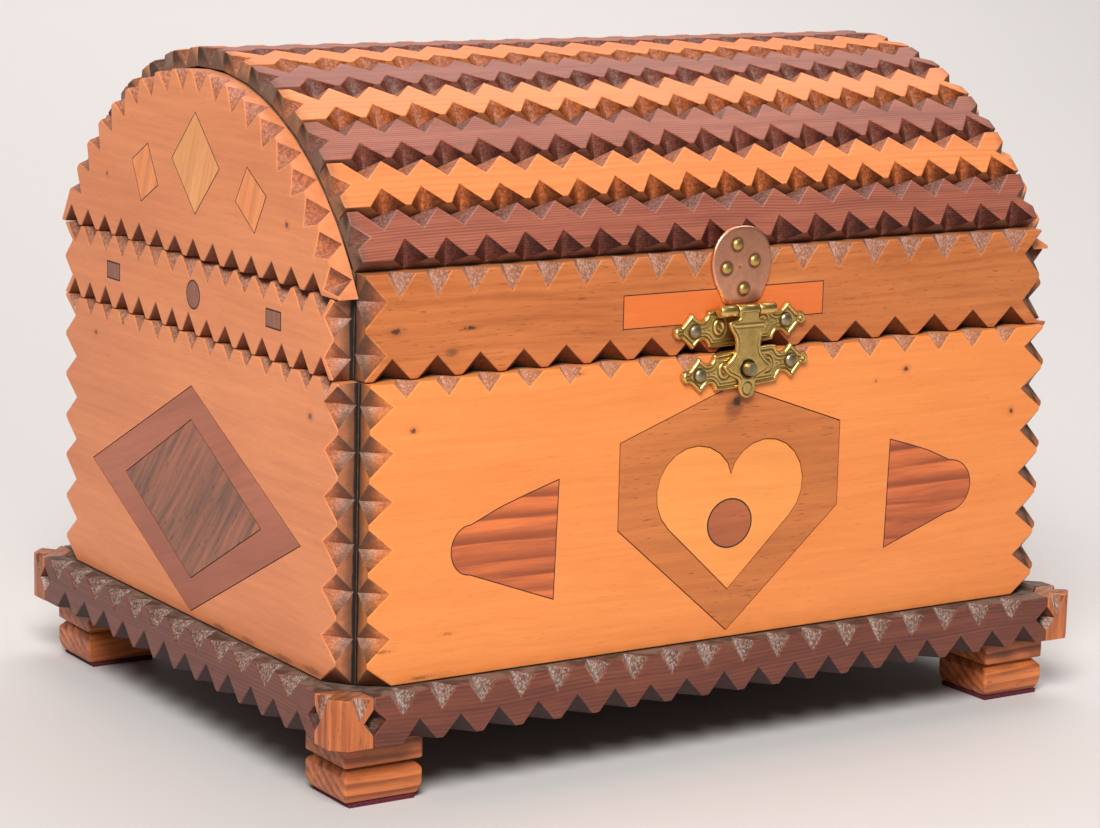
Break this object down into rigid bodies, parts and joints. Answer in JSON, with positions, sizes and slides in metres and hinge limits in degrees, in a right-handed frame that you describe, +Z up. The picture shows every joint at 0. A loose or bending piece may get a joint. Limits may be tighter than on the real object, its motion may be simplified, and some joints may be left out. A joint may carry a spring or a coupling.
{
  "type": "chip-carved trinket box",
  "caption": "Chip-carved wooden trinket box with a domed lid of notched slats, inlaid shield, heart and diamond, brass hasp and small feet; the lid and hasp are hinged.",
  "frame": {"origin": "on the surface it stands on, below the middle of the box", "axes": "+X along the box to its right end seen from the front, +Y to the back with the lid hinges, +Z up"},
  "size_m": [0.256, 0.194, 0.1937],
  "materials": {
    "light_wood": "waxed light orange maple or birch, worn smooth",
    "orange_wood": "waxed orange-brown softwood, grimy in the cuts",
    "brown_wood": "waxed mid-brown hardwood with fine grain",
    "red_brown_wood": "reddish-brown hardwood, flush and waxed",
    "dark_strip_wood": "dark reddish-brown hardwood with straight grain lines",
    "walnut": "dark walnut with open pores",
    "inner_wood": "plain unpolished wood inside",
    "felt": "crimson felt",
    "brass": "aged brass with dark crevices",
    "copper": "rubbed copper sheet with tarnish round the nails"
  },
  "bodies": {
    "box": {"base_board": "dark_strip_wood", "base_strip_front": "dark_strip_wood", "base_strip_back": "dark_strip_wood", "base_strip_left": "dark_strip_wood", "base_strip_right": "dark_strip_wood", "corner_block_front_left": "orange_wood", "corner_block_front_right": "orange_wood", "corner_block_back_left": "orange_wood", "corner_block_back_right": "orange_wood", "foot_front_left": "orange_wood", "foot_front_right": "orange_wood", "foot_back_left": "orange_wood", "foot_back_right": "orange_wood", "felt_pad_front_left": "felt", "felt_pad_front_right": "felt", "felt_pad_back_left": "felt", "felt_pad_back_right": "felt", "box_board_front": "inner_wood", "box_board_back": "inner_wood", "box_board_left": "inner_wood", "box_board_right": "inner_wood", "carved_front": "light_wood", "carved_back": "orange_wood", "carved_left": "orange_wood", "carved_right": "orange_wood", "shield_inlay": "brown_wood", "heart_inlay": "light_wood", "diamond_frame_inlay": "red_brown_wood", "diamond_centre_inlay": "walnut", "hasp_lower_plate": "brass", "hinge_left_box_leaf": "brass", "hinge_right_box_leaf": "brass"},
    "lid": {"lid_board_front": "inner_wood", "lid_board_back": "inner_wood", "lid_end_board_left": "inner_wood", "lid_end_board_right": "inner_wood", "lid_rim_front": "brown_wood", "lid_rim_back": "brown_wood", "lid_rim_left": "orange_wood", "lid_rim_right": "orange_wood", "end_panel_left": "orange_wood", "end_panel_right": "orange_wood", "slat_01": "dark_strip_wood", "slat_02": "orange_wood", "slat_03": "dark_strip_wood", "slat_04": "orange_wood", "slat_05": "dark_strip_wood", "slat_06": "orange_wood", "slat_07": "dark_strip_wood", "slat_08": "orange_wood", "slat_09": "dark_strip_wood", "slat_10": "orange_wood", "slat_11": "dark_strip_wood", "slat_12": "orange_wood", "slat_13": "dark_strip_wood", "hasp_upper_plate": "brass", "copper_plate": "copper", "hinge_left_lid_leaf": "brass", "hinge_right_lid_leaf": "brass"},
    "hasp": {"hasp": "brass"}
  },
  "joints": [
    {"name": "lid_hinge", "type": "hinge", "parent": "box", "child": "lid", "pos_m": [0, 0.0928, 0.11385], "axis": [-1, 0, 0], "range_deg": [0, 105]},
    {"name": "hasp_hinge", "type": "hinge", "parent": "lid", "child": "hasp", "pos_m": [0.0046, -0.091, 0.1259], "axis": [-1, 0, 0], "range_deg": [0, 150]}
  ]
}
